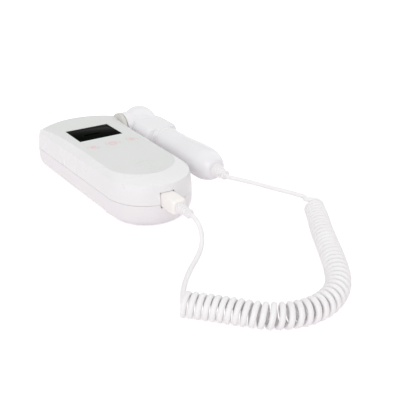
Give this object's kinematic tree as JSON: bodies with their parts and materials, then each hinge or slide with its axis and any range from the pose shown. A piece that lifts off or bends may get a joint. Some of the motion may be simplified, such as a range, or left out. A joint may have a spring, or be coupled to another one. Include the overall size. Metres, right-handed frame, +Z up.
{
  "type": "fetal doppler monitor",
  "caption": "Pocket ultrasound heart-rate monitor with display and keys, and a hand probe in a round cup at its side, joined by a curly cord.",
  "frame": {"origin": "centre of the case's flat underside, on the surface it rests on", "axes": "+Y along the case to the display end, +X to the probe at the case's right, +Z up"},
  "size_m": [0.1568, 0.3109, 0.0437],
  "materials": {
    "shell_white": "smooth satin-gloss ABS, white",
    "panel_grey": "printed polycarbonate film, light grey",
    "window_dark": "smoked acrylic, glossy",
    "module_dark": "moulded black plastic",
    "key_film": "film-faced key with a pink print",
    "board_green": "glass-fibre board with green solder mask",
    "screw_steel": "zinc-plated steel",
    "cell_jacket": "plain cell jacket",
    "cup_cream": "cream-tinted smooth plastic",
    "plug_white": "warm white overmoulding",
    "contact_gold": "gold-plated contact",
    "cord_white": "white polyurethane jacket, satin",
    "ring_grey": "light grey sealing ring",
    "crystal_ceramic": "piezo ceramic, matte"
  },
  "bodies": {
    "case": {"bottom_shell": "shell_white", "top_shell": "shell_white", "top_panel": "panel_grey", "display_window": "window_dark", "display_module": "module_dark", "key_switches": "module_dark", "main_board": "board_green", "board_screws": "screw_steel", "case_screws": "screw_steel", "speaker_frame": "screw_steel", "speaker_cone": "module_dark", "battery_cells": "cell_jacket", "battery_contacts": "screw_steel", "probe_cup": "cup_cream", "probe_jack": "module_dark", "cord_plug_stretch": "cord_white", "cord_curls": "cord_white", "cord_probe_stretch": "cord_white"},
    "left_key": {"key_left": "key_film"},
    "middle_key": {"key_middle": "key_film"},
    "right_key": {"key_right": "key_film"},
    "door": {"battery_door": "shell_white"},
    "plug": {"plug_body": "plug_white", "plug_contacts": "contact_gold", "plug_strain_relief": "cord_white"},
    "probe": {"probe_strain_relief": "cord_white", "probe_handle": "shell_white", "neck_ring": "ring_grey", "probe_head": "shell_white", "transducer_face": "cup_cream", "transducer_crystals": "crystal_ceramic", "probe_board": "board_green"}
  },
  "joints": [
    {"name": "left_key_press", "type": "slide", "parent": "case", "child": "left_key", "axis": [0, 0, -1], "range_m": [0, 0.0004], "stiffness_N_per_m": 800, "springref_m": -0.0003},
    {"name": "middle_key_press", "type": "slide", "parent": "case", "child": "middle_key", "axis": [0, 0, -1], "range_m": [0, 0.0004], "stiffness_N_per_m": 800, "springref_m": -0.0003},
    {"name": "right_key_press", "type": "slide", "parent": "case", "child": "right_key", "axis": [0, 0, -1], "range_m": [0, 0.0004], "stiffness_N_per_m": 800, "springref_m": -0.0003},
    {"name": "battery_door_swing", "type": "hinge", "parent": "case", "child": "door", "pos_m": [0, -0.0674, 0.001], "axis": [-1, 0, 0], "range_deg": [0, 80]},
    {"name": "plug_pull", "type": "slide", "parent": "case", "child": "plug", "axis": [0, -1, 0], "range_m": [0, 0.01], "deforming": ["cord_plug_stretch"]},
    {"name": "probe_pull", "type": "slide", "parent": "case", "child": "probe", "axis": [1, 0, 0], "range_m": [0, 0.008], "deforming": ["cord_probe_stretch"]}
  ]
}
